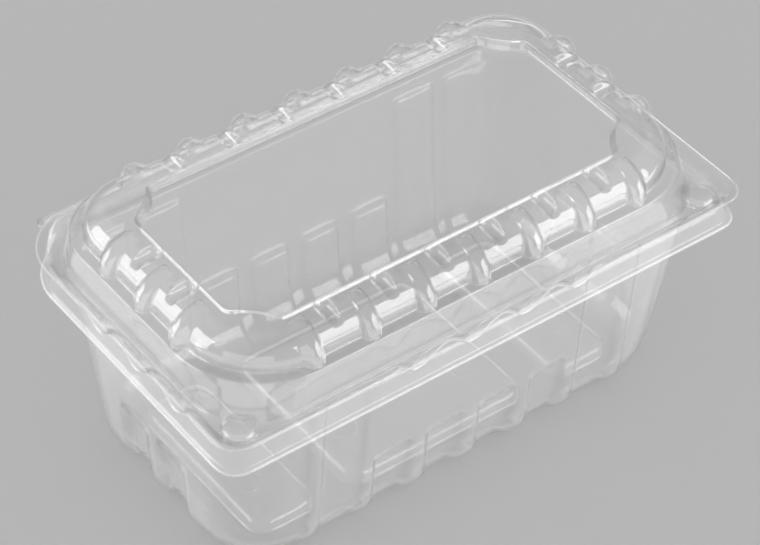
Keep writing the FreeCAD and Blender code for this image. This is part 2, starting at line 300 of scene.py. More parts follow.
# ---------------------------------------------------------------- outlines and lofts
FARTHEST, HALVINGS = 0.2, 34         # longest run of a ray in metres, and how closely it is found
COLUMN_CLEAR, COLUMN_GAP = 0.45, 0.08 * MM      # least gaps: in steps beside fine columns, and ever
BEND_ROOM = 0.96                     # share of the way to the next corner that bends may take
WELD = 0.002 * MM                    # points nearer than this are merged


def rounded_distance(x, y, half_x, half_y, radius):
    """Signed distance to a rounded rectangle; radius may differ from point to point."""
    over_x = np.abs(x) - (half_x - radius)
    over_y = np.abs(y) - (half_y - radius)
    outside = np.hypot(np.maximum(over_x, 0), np.maximum(over_y, 0))
    return outside + np.minimum(np.maximum(over_x, over_y), 0) - radius


class Outline:
    """Rounded rectangle with its own corner radius on the hinge side."""

    def __init__(self, out, radius, hinge_radius=None, half=(LEDGE_X, LEDGE_Y)):
        self.half_x, self.half_y = half[0] + out, half[1] + out
        self.radius = radius
        self.hinge_radius = radius if hinge_radius is None else hinge_radius

    def distance(self, x, y):
        radius = np.where(y > 0, self.hinge_radius, self.radius)
        return rounded_distance(x, y, self.half_x, self.half_y, radius)


class PaddedOutline(Outline):
    """Rectangle whose corners are cut off by round pads that bulge inwards."""

    def __init__(self, out, half, pad, soft):
        super().__init__(out, soft, half=half)
        self.pad, self.soft = pad, soft
        self.pad_set = 0.5 * pad
        self.pad_radius = math.hypot(pad + self.pad_set, self.pad_set) - out

    def distance(self, x, y):
        plain = super().distance(x, y)
        to_pad = np.hypot(np.abs(x) - self.half_x - self.pad_set,
                          np.abs(y) - self.half_y - self.pad_set)
        cut = self.pad_radius - to_pad
        blend = np.maximum(self.soft - np.abs(plain - cut), 0) / self.soft
        return np.maximum(plain, cut) + blend * blend * self.soft * 0.25


class Rays:
    """Lines that run outwards over a sheet: straight at the sides, in a fan at each corner."""

    def __init__(self, pivot_x, pivot_y, long_places, short_places, turns):
        starts, headings = [], []

        def corner(x, y, first):
            for step in range(1, turns):
                angle = math.radians(first + 90 * step / turns)
                starts.append((x, y))
                headings.append((math.cos(angle), math.sin(angle)))

        for places, x, y, first in (
            (long_places, None, -pivot_y, -90),
            (short_places, pivot_x, None, 0),
            (long_places[::-1], None, pivot_y, 90),
            (short_places[::-1], -pivot_x, None, 180),
        ):
            heading = (round(math.cos(math.radians(first))), round(math.sin(math.radians(first))))
            for place in places:
                starts.append((place if x is None else x, place if y is None else y))
                headings.append(heading)
            corner(*starts[-1], first)
        self.start = np.array(starts)
        self.heading = np.array(headings)
        self.count = len(starts)

    def reach(self, outline):
        """How far each ray runs to the outline, by halving."""
        low = np.zeros(self.count)
        high = np.full(self.count, FARTHEST)
        for _ in range(HALVINGS):
            middle = (low + high) / 2
            point = self.start + self.heading * middle[:, None]
            inside = outline.distance(point[:, 0], point[:, 1]) < 0
            low = np.where(inside, middle, low)
            high = np.where(inside, high, middle)
        return low

    def toward(self, x, y):
        """Share of a shift that runs along each ray."""
        return self.heading @ np.array((x, y))

    def points(self, run, height):
        """Points on the rays at a run and a height."""
        flat = self.start + self.heading * run[:, None]
        return np.column_stack((flat, np.broadcast_to(height, self.count)))


def spaced(low, high, step, fine_at=(), fine=()):
    """Places from low to high, a step apart, with extra ones at each fine place."""
    places = list(np.linspace(low, high, max(2, round((high - low) / step) + 1)))
    dense = [at + sign * offset for at in fine_at for offset in fine for sign in (-1, 1)]
    dense = [at for at in dense if low < at < high]
    clear = COLUMN_CLEAR * step
    places = [at for at in places
              if at in (places[0], places[-1]) or all(abs(at - other) > clear for other in dense)]
    merged = sorted(places + dense)
    kept = [merged[0]]
    for at in merged[1:]:
        if at - kept[-1] > COLUMN_GAP:
            kept.append(at)
    kept[-1] = high
    return kept


class Station:
    """One corner of the section: its run along each ray, its height and its rounding.

    The sheet takes this many steps before the corner, and this many in the arc that rounds it.
    """

    def __init__(self, run, height, rounding=0.0, before=1, arc=0):
        self.corner = np.column_stack((run, np.broadcast_to(height, len(run))))
        self.rounding = rounding
        self.before = before
        self.arc = arc


def section_rows(stations, rays):
    """Points of the sheet, row by row: straight between stations, with each corner rounded."""
    rows = [stations[0].corner]
    for index, station in enumerate(stations[1:], 1):
        corner, previous = station.corner, rows[-1]
        arrive, leave, weight = corner, corner, None
        if station.arc and index < len(stations) - 1:
            back = stations[index - 1].corner - corner
            onward = stations[index + 1].corner - corner
            back_length = np.maximum(np.linalg.norm(back, axis=1), 1e-9)[:, None]
            onward_length = np.maximum(np.linalg.norm(onward, axis=1), 1e-9)[:, None]
            back, onward = back / back_length, onward / onward_length
            half_turn = np.arccos(np.clip(-(back * onward).sum(axis=1), -1, 1))[:, None] / 2
            before, after = stations[index - 1].rounding, stations[index + 1].rounding
            room = BEND_ROOM * np.minimum(
                back_length * station.rounding / (station.rounding + before),
                onward_length * station.rounding / (station.rounding + after))
            tangent = np.minimum(station.rounding * np.tan(half_turn), room)
            arrive, leave = corner + back * tangent, corner + onward * tangent
            weight = np.cos(half_turn)
        rows += [previous + (arrive - previous) * (step / station.before)
                 for step in range(1, station.before)]
        if weight is None:
            rows.append(corner)
            continue
        for step in range(station.arc + 1):
            t = step / station.arc
            pull = 2 * t * (1 - t) * weight
            total = (1 - t) ** 2 + t ** 2 + pull
            rows.append(((1 - t) ** 2 * arrive + t ** 2 * leave + pull * corner) / total)
    return [rays.points(row[:, 0], row[:, 1]) for row in rows]


def sheet_mesh(name, rows, middle, facing):
    """Mesh of closed rings of points, from the middle outwards; facing is 1 for up and -1 for down.

    The middle is "face" for one flat face, or the places (x, y) of a grid inside the first ring.
    """
    count = len(rows[0])
    points = [tuple(point) for row in rows for point in row]
    faces = [
        (row * count + column, (row + 1) * count + column,
         (row + 1) * count + (column + 1) % count, row * count + (column + 1) % count)
        for row in range(len(rows) - 1) for column in range(count)
    ]
    if middle == "face":
        faces.append(tuple(range(count)))
    else:
        xs, ys = middle
        base, height = len(points), rows[0][0][2]
        points += [(x, y, height) for y in ys for x in xs]
        across = len(xs)
        faces += [
            (base + j * across + i, base + j * across + i + 1,
             base + (j + 1) * across + i + 1, base + (j + 1) * across + i)
            for j in range(len(ys) - 1) for i in range(across - 1)
        ]
    if facing < 0:
        faces = [face[::-1] for face in faces]
    mesh = bpy.data.meshes.new(name)
    mesh.from_pydata(points, [], faces)
    join = bmesh.new()
    join.from_mesh(mesh)
    bmesh.ops.remove_doubles(join, verts=join.verts, dist=WELD)
    bmesh.ops.dissolve_degenerate(join, edges=join.edges, dist=WELD / 2)
    join.to_mesh(mesh)
    join.free()
    return mesh


def add_piece(name, data):
    """Puts a mesh, a light or a camera into the scene."""
    piece = bpy.data.objects.new(name, data)
    bpy.context.scene.collection.objects.link(piece)
    return piece


def thicken(piece, thickness):
    """Gives the sheet its thickness, away from the side that its faces look to."""
    wall = piece.modifiers.new("sheet", "SOLIDIFY")
    wall.thickness = thickness
    wall.offset = -1
    wall.use_rim = True


def bake_modifiers(piece, material):
    """Turns the piece with its modifiers into a plain smooth mesh that keeps to the part's box."""
    bpy.context.view_layer.update()
    graph = bpy.context.evaluated_depsgraph_get()
    mesh = bpy.data.meshes.new_from_object(piece.evaluated_get(graph))
    mesh.name = piece.name
    for vertex in mesh.vertices:
        vertex.co = [min(max(at, low), high) for at, low, high in zip(vertex.co, *CAD_BOX)]
    piece.modifiers.clear()
    piece.data = mesh
    mesh.materials.clear()
    mesh.materials.append(material)
    for polygon in mesh.polygons:
        polygon.material_index = 0
    mesh.shade_smooth()


# ---------------------------------------------------------------- material
LIP_RADIUS, LIP_HINGE_RADIUS = 7.0 * MM, 20.0 * MM
CUT_EDGE = -0.6 * MM, -0.4 * MM      # a lip's last stretch, over which its cut edge begins
FLOOR_TOP, HAZE_TOP = 4.8 * MM, 14.0 * MM       # the floor is clearer than the stretched walls
FLOOR_HAZE = 0.2                     # the floor's haze, as a share of the walls'
LEVEL_RISE = 0.965, 0.995            # upright share of a normal from which a part counts as level
LEVEL_CALM = 0.85                    # share of its mirroring that a level part loses
SHADOW_CALM = 0.6                    # share of its mirroring that a part loses in a shadow
SLANT_MIRROR, SLANT_EDGE_SHADE = 5.0, 3.0          # powers by which the mirroring and the painted edge shade grow as the sheet slants
TRAY_EDGE_SHADE = 0.4                   # the tray's painted edge shade, as a share of the lid's
# The grey filter is painted shade that darkens the sheet where it is seen edge on; the haze white
# is the sheet's own scatter.
HAZE_WHITE, EDGE_SHADE_GREY = (0.9, 0.9, 0.9, 1.0), (0.3, 0.3, 0.3, 1.0)
WHITE = (1.0, 1.0, 1.0, 1.0)


def cut_edge_highlight(x, y, out):
    """1 on the cut edge of a lip that ends this far out, 0 elsewhere; it masks the cut's scatter
    and a painted highlight.
    """
    radius = y.maths("GREATER_THAN", 0.0) * (LIP_HINGE_RADIUS - LIP_RADIUS) + LIP_RADIUS
    over_x = (abs(x) - (LEDGE_X + out) + radius).most(0.0)
    over_y = (abs(y) - (LEDGE_Y + out) + radius).most(0.0)
    return ((over_x * over_x + over_y * over_y).root() - radius).ramp(*CUT_EDGE)


def clear_plastic(look, name, *, haze, roughness, head_on, steepest, outline, edge_out=None):
    """Clear formed PET: a thin sheet that lets light through and mirrors more at a slant, and is
    darkened by painted shade where it is seen edge on.

    head_on is the share of light that one side mirrors square on, and steepest is the most that
    it mirrors at a slant. edge_out tells how far out the sheet is cut, where it has a cut edge
    that is painted white, partly for its own scatter and partly as a painted highlight.
    """
    material = bpy.data.materials.new(name)
    material.use_nodes = True
    tree = material.node_tree
    tree.nodes.clear()

    def node(kind, settings=None, **sockets):
        return add_node(tree, kind, settings, **sockets)

    place = node("ShaderNodeTexCoord").outputs["Object"]
    x, y, z = (Term(tree, part) for part in node("ShaderNodeSeparateXYZ", Vector=place).outputs)
    ripple = node("ShaderNodeTexNoise", {"noise_dimensions": "3D"}, Vector=place, Scale=55.0,
                  Detail=1.5, Roughness=0.45)
    bump = node("ShaderNodeBump", Height=ripple.outputs["Fac"], Strength=1.0, Distance=look.ripple)
    facing = node("ShaderNodeLayerWeight", Blend=0.5, Normal=bump.outputs[0]).outputs["Facing"]
    slant = Term(tree, facing)
    normal = node("ShaderNodeNewGeometry").outputs["Normal"]
    upright = abs(Term(tree, node("ShaderNodeSeparateXYZ", Vector=normal).outputs["Z"]))
    shadow = Term(tree, node("ShaderNodeLightPath").outputs["Is Shadow Ray"])
    mirror = (slant ** SLANT_MIRROR + head_on).least(steepest)
    mirror = mirror * (1.0 - upright.ramp(*LEVEL_RISE) * LEVEL_CALM)
    haze_and_edge_highlight = (z.ramp(FLOOR_TOP, HAZE_TOP) * (1.0 - FLOOR_HAZE) + FLOOR_HAZE) * haze
    # White on the lip's cut edge: partly the cut's own scatter, partly a painted highlight for the
    # bright line the edge catches.
    if edge_out is not None:
        haze_and_edge_highlight = cut_edge_highlight(x, y, edge_out) * look.edge + haze_and_edge_highlight
    clear = node("ShaderNodeBsdfTransparent", Color=(*look.tint, 1.0))
    scatter = node("ShaderNodeBsdfDiffuse", Color=HAZE_WHITE)
    # Painted shade: a grey filter mixed in where the sheet is seen edge on, standing in for the
    # dark edges of clear plastic.
    painted_edge_shade = node("ShaderNodeBsdfTransparent", Color=EDGE_SHADE_GREY)
    gloss = node("ShaderNodeBsdfGlossy", Roughness=roughness, Color=WHITE, Normal=bump.outputs[0])
    veil = mix_shaders(tree, haze_and_edge_highlight, clear, scatter)
    body = mix_shaders(tree, slant ** SLANT_EDGE_SHADE * outline, veil, painted_edge_shade)
    skin = mix_shaders(tree, mirror * (1.0 - shadow * SHADOW_CALM), body, gloss)
    node("ShaderNodeOutputMaterial", Surface=skin.outputs[0])
    return material


# ---------------------------------------------------------------- lid
LID_PIVOT = (57.7 * MM, 20.1 * MM)
LONG_REACH, SHORT_REACH = 3, 1       # ribs each way from the middle one
CROWN_OUT, CROWN_ROUND = -3.65 * MM, 8.2 * MM
CROWN_RADIUS, CROWN_HINGE_RADIUS = 29.0 * MM, 22.0 * MM
SKIRT_OUT, SKIRT_RADIUS, SKIRT_HINGE_RADIUS = 0.9 * MM, 21.0 * MM, 19.0 * MM
RIM_OUT = 1.3 * MM                   # where the flat rim begins
RIM_TURN_OUT, RIM_TURN_Z = 4.7 * MM, MATING_Z + 3.4 * MM
LIP_Z = MATING_Z + 3.8 * MM
ROLL_OUT, ROLL_Z = CROWN_OUT - CROWN_ROUND, RING_Z - CROWN_ROUND
PANEL_HALF = (LEDGE_X - 16.5 * MM, LEDGE_Y - 16.5 * MM)
PANEL_PAD, PANEL_SOFT = 11.0 * MM, 2.0 * MM     # round pads that cut the panel's corners
PANEL_STEP, PANEL_LEAN = 0.7 * MM, -0.45 * MM   # run of the step up to the ring, and its shift
CREASE, CREASE_SWING, HINGE_KEEN = 0.43, 0.30, 0.7      # roundings in mm, and a share
DENT_Z, DENT_END_OUT = PANEL_Z + 0.4 * MM, -13.0 * MM
SNAP_X, SNAP_Y = 82.9 * MM, -45.8 * MM
SNAP_RADIUS, SNAP_HEIGHT, SNAP_SOFT, SNAP_TURNS = 5.3 * MM, 2.5 * MM, 1.5 * MM, 48
RIB_SECTION = 2.9 * MM       # how far the rounded top of a rib stands above its sides
RIB_DROP, RIB_END_OUT, RIB_TIP = 9.0 * MM, -12.4 * MM, 1.9 * MM
RIB_EASE, HAIR = 0.05 * MM, 0.1 * MM            # lengths too small to see
HINGE_ROLL = 1.1 * MM
HINGE_AT = Vector(HINGE["pos_m"])
HINGE_HALF, HINGE_FADE = 84.0 * MM, 6.0 * MM
HINGE_SIDE_Y = 0.9 * LEDGE_Y         # rays that end past it can meet the hinge
LEAST_SLANT = 0.2                    # keeps the run of level rays to the hinge finite
TURN_Y = LEDGE_Y + 4.3 * MM          # where the sheet turns to run to the hinge
# Where the sheet needs columns, as shares of half a rib's or a dent's width.
RIB_COLUMNS = 0.75, 0.86, 0.93, 0.97, 1.0, 1.03
DENT_COLUMNS = 0.3, 0.5, 0.65, 0.77, 0.87, 0.95, 1.03
LID_COLUMN_STEP, LID_CORNER_TURNS = 1.2 * MM, 36


def along_hinge(rays, run, start, end):
    """1 for the rays that end on the hinge, easing to 0 past its ends."""
    at = rays.points(run, 0.0)
    ease = np.clip((end - np.abs(at[:, 0])) / (end - start), 0, 1)
    return np.where(at[:, 1] > HINGE_SIDE_Y, ease * ease * (3 - 2 * ease), 0.0)


def to_hinge(rays, run, height, place_y, place_z):
    """Bends the end of the sheet to a line along the hinge, on the rays that meet it."""
    share = along_hinge(rays, run, HINGE_HALF - HINGE_FADE, HINGE_HALF)
    slant = np.maximum(rays.heading[:, 1], LEAST_SLANT)
    hinge_run = (place_y - rays.start[:, 1]) / slant
    return run + (hinge_run - run) * share, height + (place_z - height) * share


def lid_stations(rays):
    """Corners of the lid's section, from the panel out to the lip."""
    def panel(out):
        return rays.reach(PaddedOutline(out, PANEL_HALF, PANEL_PAD, PANEL_SOFT))

    def shell(out, radius, hinge_radius):
        return rays.reach(Outline(out, radius, hinge_radius))

    lips = LIP_RADIUS, LIP_HINGE_RADIUS
    rim, rim_z = to_hinge(rays, shell(RIM_TURN_OUT, *lips), RIM_TURN_Z, TURN_Y,
                          HINGE_AT.z + 0.6 * MM)
    lip, lip_z = to_hinge(rays, shell(LIP_OUT, *lips), LIP_Z, HINGE_AT.y, HINGE_AT.z + HINGE_ROLL)
    crown = shell(CROWN_OUT, CROWN_RADIUS + CROWN_OUT, CROWN_HINGE_RADIUS + CROWN_OUT)
    lean = rays.toward(PANEL_LEAN, PANEL_LEAN)
    # Bends are sharper on the hinge side.
    crease = (CREASE - CREASE_SWING * rays.heading[:, 1:]) * MM
    keen = 1.0 - HINGE_KEEN * np.maximum(rays.heading[:, 1:], 0)
    return [
        Station(panel(-1.5 * MM), PANEL_Z),
        Station(panel(0.0), PANEL_Z, crease, 1, 3),
        Station(panel(PANEL_STEP) + lean, RING_Z, 0.7 * crease, 2, 3),
        Station(crown, RING_Z, CROWN_ROUND, 7, 12),
        Station(crown, LEDGE_Z, 0.5 * MM * keen, 3, 3),
        Station(shell(0.0, CROWN_RADIUS, CROWN_HINGE_RADIUS), LEDGE_Z, 0.6 * MM * keen, 3, 3),
        Station(shell(SKIRT_OUT, SKIRT_RADIUS, SKIRT_HINGE_RADIUS), MATING_Z,
                0.8 * MM * keen, 5, 3),
        Station(shell(RIM_OUT, *lips), MATING_Z, 0.5 * MM, 6, 2),
        Station(rim, rim_z, 0.7 * MM, 4, 3),
        Station(lip, lip_z, 0.0, 2),
    ]


def long_and_short(x, y):
    """What each pair of sides is measured by: along, across, ledge, name of its pitch, reach."""
    return ((x, y, LEDGE_Y, "pitch", LONG_REACH), (y, x, LEDGE_X, "short_pitch", SHORT_REACH))


def press_ribs(piece, sizes, material):
    """Ribs that climb the crown wall and roll over on to the ring, on all four sides."""
    press = Press("ribs", pitch=PITCH, short_pitch=SHORT_PITCH, width=sizes.rib_width,
                  reach=sizes.rib_out, rise=sizes.rib_up)
    x, y, z = press.place()
    half = press.size("width") * 0.5
    moves = []
    for along, across, ledge, pitch, reach in long_and_short(x, y):
        off = along.nearest(press.size(pitch), reach)
        side = off / half
        beside = (abs(off) - half).ramp(0.0, HAIR) * RIB_DROP
        round_off = (1.0 - (1.0 - side * side).root()) * RIB_SECTION + beside
        out = abs(across) - ledge
        run, climb = (out - ROLL_OUT).most(0.0), (z - ROLL_Z).most(0.0)
        far = (run * run + climb * climb).root().most(HAIR)
        steep = (climb / far) * (climb / far)
        crown = press.size("reach") - (press.size("reach") - press.size("rise")) * steep
        proud = rounded_positive(crown - round_off - CROWN_ROUND, RIB_EASE)
        foot = (out / CROWN_OUT).within(0.0, 1.0)
        tip = ((RIB_END_OUT + RIB_TIP - out) / RIB_TIP).within(0.0, 1.0)
        share = foot * (1.0 - tip * tip).root() * proud / far
        moves.append((share * run * across.sign(), share * climb))
    press.shift(x=moves[1][0], y=moves[0][0], z=moves[0][1] + moves[1][1])
    press.apply(piece, material)


def press_dents(piece, sizes, material):
    """Grooves between the ribs, almost down to the panel: closed towards it, open at the crown."""
    press = Press("dents", pitch=PITCH, short_pitch=SHORT_PITCH, width=sizes.dent_width)
    x, y, z = press.place()
    half = press.size("width") * 0.5
    floors = []
    for along, across, ledge, pitch, reach in long_and_short(x, y):
        off = along.nearest(press.size(pitch), reach, 0.5) / half
        end = (ledge + DENT_END_OUT - abs(across)).most(0.0) / half
        floors.append(((off * off + end * end) ** 2.0) * (RING_Z - DENT_Z) + DENT_Z)
    press.shift(z=-(z - floors[0].least(floors[1])).most(0.0))
    press.apply(piece, material)


# Waved stretches of the lip, front and left: their middle, half their length and their phase.
FRONT_WAVES, LEFT_WAVES = (0.0, 38.4 * MM, 0.25), (-10.6 * MM, 28.8 * MM, -0.25)
WAVE_FADE = 4.8 * MM


def press_waves(piece, sizes, material):
    """Arches and dips that vent the lip on the front and on the left."""
    press = Press("waves", pitch=PITCH, rise=sizes.wave_up, dip=sizes.wave_down)
    x, y, z = press.place()
    turn = 2 * math.pi
    lift = None
    for along, across, ledge, (centre, reach, phase) in (
        (x, y, LEDGE_Y, FRONT_WAVES), (y, x, LEDGE_X, LEFT_WAVES),
    ):
        wave = ((along - centre) / press.size("pitch") * turn + phase * turn).sine()
        swing = wave.most(0.0) * press.size("rise") + wave.least(0.0) * press.size("dip")
        within = 1.0 - abs(along - centre).ramp(reach - WAVE_FADE, reach)
        run = ((-across - (ledge + RIM_OUT)) / (LIP_OUT - RIM_OUT)).within(0.0, 1.0)
        part = swing * within * run
        lift = part if lift is None else lift + part
    press.shift(z=lift)
    press.apply(piece, material)


def add_cups(mesh, radius, height, base_z):
    """Adds the two round snap buttons of the front corners to a sheet."""
    profile = [(radius, 0.0)]
    for angle in (0, 18, 36, 54, 72, 90):
        bend = math.radians(angle)
        profile.append((radius - SNAP_SOFT * (1 - math.cos(bend)),
                        height - SNAP_SOFT * (1 - math.sin(bend))))
    angles = [2 * math.pi * k / SNAP_TURNS for k in range(SNAP_TURNS)]
    join = bmesh.new()
    join.from_mesh(mesh)
    for side in (-1, 1):
        rings = [
            [join.verts.new((side * SNAP_X + away * math.cos(angle),
                             SNAP_Y + away * math.sin(angle), base_z + up)) for angle in angles]
            for away, up in profile
        ]
        for low, high in zip(rings, rings[1:]):
            for k in range(SNAP_TURNS):
                after = (k + 1) % SNAP_TURNS
                join.faces.new((low[k], low[after], high[after], high[k]))
        join.faces.new(rings[-1])
    join.to_mesh(mesh)
    join.free()


def both_sides(half, shares):
    """Offsets on both sides of a middle, from shares of a half width."""
    return [side * half * part for side in (-1, 1) for part in shares]


def make_lid(sizes, look):
    """The domed half, with its ribs, dents, waved lip and snap buttons."""
    rib_edges = both_sides(sizes.rib_width / 2, RIB_COLUMNS)
    dent_edges = both_sides(sizes.dent_width / 2, DENT_COLUMNS)

    def places(pivot, pitch, reach):
        near = [k * pitch + edge for k in range(-reach, reach + 1) for edge in rib_edges]
        near += [(k + 0.5) * pitch + edge for k in range(-reach, reach) for edge in dent_edges]
        return spaced(-pivot, pivot, LID_COLUMN_STEP, near, (0.0,))

    rays = Rays(*LID_PIVOT, places(LID_PIVOT[0], PITCH, LONG_REACH),
                places(LID_PIVOT[1], SHORT_PITCH, SHORT_REACH), LID_CORNER_TURNS)
    rows = section_rows(lid_stations(rays), rays)
    mesh = sheet_mesh("lid_sheet", rows, "face", 1)
    add_cups(mesh, SNAP_RADIUS, SNAP_HEIGHT, MATING_Z)
    piece = add_piece("lid_sheet", mesh)
    material = clear_plastic(
        look, "clear_lid_plastic", haze=look.haze, roughness=0.05, head_on=0.05, steepest=0.75,
        outline=look.outline, edge_out=LIP_OUT)
    press_ribs(piece, sizes, material)
    press_dents(piece, sizes, material)
    press_waves(piece, sizes, material)
    thicken(piece, sizes.thickness)
    bake_modifiers(piece, material)
    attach(piece, "lid")
    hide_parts("lid")


# ---------------------------------------------------------------- tray
TRAY_PIVOT = (61.2 * MM, 24.9 * MM)
TRAY_TOP_Z = MATING_Z - 0.2 * MM
TRAY_FOOT_OUT, TRAY_TOP_OUT = -5.2 * MM, -0.7 * MM
TRAY_RIM_OUT, TRAY_LIP_OUT = 3.7 * MM, 6.1 * MM
FOLD_OUT, FOLD_Z, TRAY_LIP_Z = 4.6 * MM, TRAY_TOP_Z - 5.9 * MM, TRAY_TOP_Z - 7.0 * MM
FOOT_BEND = 11.0 * MM
TRAY_FOOT_RADIUS, TRAY_TOP_RADIUS = 24.0 * MM, 17.0 * MM
LOW_TOP, TALL_TOP, LEDGE_EASE = 26.0 * MM, 62.0 * MM, 0.8 * MM
# Low panels stand half a pitch off the middle, with pilasters between them.
LONG_PANELS, SHORT_PANELS = 2, 1     # how many each way
LOW_HALF, PANEL_EASE = 6.35 * MM, 0.7 * MM
TALL_SPANS = ((40.0 * MM, 54.5 * MM), (59.5 * MM, 75.0 * MM))   # nearer the ends of the long walls
WALL_INNER, WALL_OUTER = (-17.0 * MM, -10.0 * MM), (0.3 * MM, 1.0 * MM)      # where panels fade
NEAR_FLOOR = 1.0 * MM, 6.0 * MM      # where the floor pads fade
# Floor pads: the middle and the half length of each along x, and what they share.
PADS = ((0.0, 33.2 * MM), (56.15 * MM, 11.05 * MM))
PAD_Y, PAD_RADIUS, PAD_ROUND, PAD_SIDE = 30.9 * MM, 6.0 * MM, 2.8 * MM, 0.5 * MM
PADS_HALF = (PADS[1][0] + PADS[1][1], PAD_Y)
PAD_COLUMNS = -0.5, 0.0, 0.2, 0.5, 0.9, 1.4, 2.0, 2.8       # in mm, inwards from a pad's end
VENT_RADIUS, DRILL_DEPTH = 3.5 * MM, 30.0 * MM
VENTS = ((22.3 * MM, 13.0 * MM), (58.6 * MM, 14.0 * MM))
TRAY_COLUMN_STEP, TRAY_CORNER_TURNS, TRAY_FINE = 1.5 * MM, 24, (0.0, 0.35 * MM)
SNAP_GAP = 0.65 * MM                 # how much slimmer the tray's snap buttons are


def tray_stations(rays):
    """Corners of the tray's section, from the middle of its floor out to the lip."""
    def shell(out, radius, hinge_radius):
        return rays.reach(Outline(out, radius, hinge_radius))

    def wall(height):
        rise = height / TRAY_TOP_Z
        out = TRAY_FOOT_OUT + (TRAY_TOP_OUT - TRAY_FOOT_OUT) * rise
        radius = TRAY_FOOT_RADIUS + (TRAY_TOP_RADIUS - TRAY_FOOT_RADIUS) * rise
        return shell(out, radius, radius)

    def pads(out):
        return rays.reach(Outline(out, PAD_RADIUS + out, half=PADS_HALF))

    lips = LIP_RADIUS, LIP_HINGE_RADIUS
    fold, fold_z = to_hinge(rays, shell(FOLD_OUT, *lips), FOLD_Z, TURN_Y, HINGE_AT.z - 1.4 * MM)
    lip, lip_z = to_hinge(rays, shell(TRAY_LIP_OUT, *lips), TRAY_LIP_Z,
                          HINGE_AT.y, HINGE_AT.z - HINGE_ROLL)
    return [
        Station(np.zeros(rays.count), 0.0),
        Station(pads(-PAD_ROUND), 0.0, 0.0, 3),
        Station(pads(0.0), 0.0, 0.0, 7),
        Station(pads(PAD_SIDE), 0.0, 0.0, 1),
        Station(wall(0.0), 0.0, FOOT_BEND, 4, 10),
        Station(wall(LOW_TOP - LEDGE_EASE), LOW_TOP - LEDGE_EASE, 0.0, 8),
        Station(wall(LOW_TOP + LEDGE_EASE), LOW_TOP + LEDGE_EASE, 0.0, 4),
        Station(wall(TALL_TOP - LEDGE_EASE), TALL_TOP - LEDGE_EASE, 0.0, 6),
        Station(wall(TALL_TOP + LEDGE_EASE), TALL_TOP + LEDGE_EASE, 0.0, 4),
        Station(wall(TRAY_TOP_Z), TRAY_TOP_Z, 0.6 * MM, 1, 3),
        Station(shell(TRAY_RIM_OUT, *lips), TRAY_TOP_Z, 0.5 * MM, 5, 2),
        Station(fold, fold_z, 0.8 * MM, 3, 3),
        Station(lip, lip_z, 0.0, 2),
    ]


def press_wall_panels(piece, sizes, material):
    """Low panels that leave pilasters between them, and tall panels nearer the ends."""
    press = Press("wall panels", pitch=PITCH, low_depth=sizes.panel_depth,
                  tall_depth=sizes.tall_depth)
    x, y, z = press.place()
    ease = PANEL_EASE
    below_low = 1.0 - z.ramp(LOW_TOP - LEDGE_EASE, LOW_TOP + LEDGE_EASE)
    below_tall = 1.0 - z.ramp(TALL_TOP - LEDGE_EASE, TALL_TOP + LEDGE_EASE)
    moves = []
    for along, across, ledge, reach, spans in (
        (x, y, LEDGE_Y, LONG_PANELS, TALL_SPANS), (y, x, LEDGE_X, SHORT_PANELS, ()),
    ):
        off = abs(along.nearest(press.size("pitch"), reach, 0.5))
        low = 1.0 - off.ramp(LOW_HALF - ease, LOW_HALF + ease)
        inset = low * below_low * press.size("low_depth")
        for start, end in spans:
            span = abs(abs(along) - (start + end) / 2)
            flat = 1.0 - span.ramp((end - start) / 2 - ease, (end - start) / 2 + ease)
            inset = inset + flat * below_tall * press.size("tall_depth")
        out = abs(across) - ledge
        on_wall = out.ramp(*WALL_INNER) * (1.0 - out.ramp(*WALL_OUTER))
        moves.append(-(inset * on_wall * across.sign()))
    press.shift(x=moves[1], y=moves[0])
    press.apply(piece, material)


def press_floor_pads(piece, sizes, material):
    """Raised pads that stiffen the floor."""
    press = Press("floor pads", height=sizes.pad_height, radius=PAD_RADIUS)
    x, y, z = press.place()
    lift = None
    for centre, half in PADS:
        over_x = abs(abs(x) - centre) - half + press.size("radius")
        over_y = abs(y) - PAD_Y + press.size("radius")
        corner = (over_x.most(0.0) * over_x.most(0.0) + over_y.most(0.0) * over_y.most(0.0)).root()
        gap = corner + over_x.most(over_y).least(0.0) - press.size("radius")
        bend = ((gap + PAD_ROUND) / PAD_ROUND).within(0.0, 1.0)
        drop = (1.0 - (1.0 - bend * bend).root()) * PAD_ROUND
        part = (press.size("height") - drop) * (1.0 - gap.ramp(0.0, PAD_SIDE))
        lift = part if lift is None else lift.most(part)
    on_floor = 1.0 - z.ramp(*NEAR_FLOOR)
    press.shift(z=lift * on_floor)
    press.apply(piece, material)


def cut_vents(piece, material):
    """Round holes through the floor pads."""
    (near_x, near_y), (far_x, far_y) = VENTS
    press = Press("vents", near_x=near_x, near_y=near_y, far_x=far_x, far_y=far_y,
                  radius=VENT_RADIUS)
    tree = press.tree
    drill = add_node(tree, "GeometryNodeMeshCylinder", Vertices=40, Radius=press.size("radius"),
                     Depth=DRILL_DEPTH)
    cut = add_node(tree, "GeometryNodeMeshBoolean",
                   {"operation": "DIFFERENCE", "solver": "MANIFOLD"})
    tree.links.new(press.last, cut.inputs["Mesh 1"])
    for where in ("near", "far"):
        grid = add_node(tree, "GeometryNodeMeshGrid", Size_X=press.size(where + "_x") * 2.0,
                        Size_Y=press.size(where + "_y") * 2.0, Vertices_X=2, Vertices_Y=2)
        holes = add_node(tree, "GeometryNodeInstanceOnPoints", Points=grid.outputs[0],
                         Instance=drill.outputs[0])
        real = add_node(tree, "GeometryNodeRealizeInstances", Geometry=holes.outputs[0])
        tree.links.new(real.outputs[0], cut.inputs["Mesh 2"])
    press.last = cut.outputs[0]
    press.apply(piece, material)


def panel_columns(reach):
    """Both sides of the low panels, which stand half a pitch off the middle."""
    return [(k + 0.5) * PITCH + side
            for k in range(-reach, reach) for side in (-LOW_HALF, LOW_HALF)]


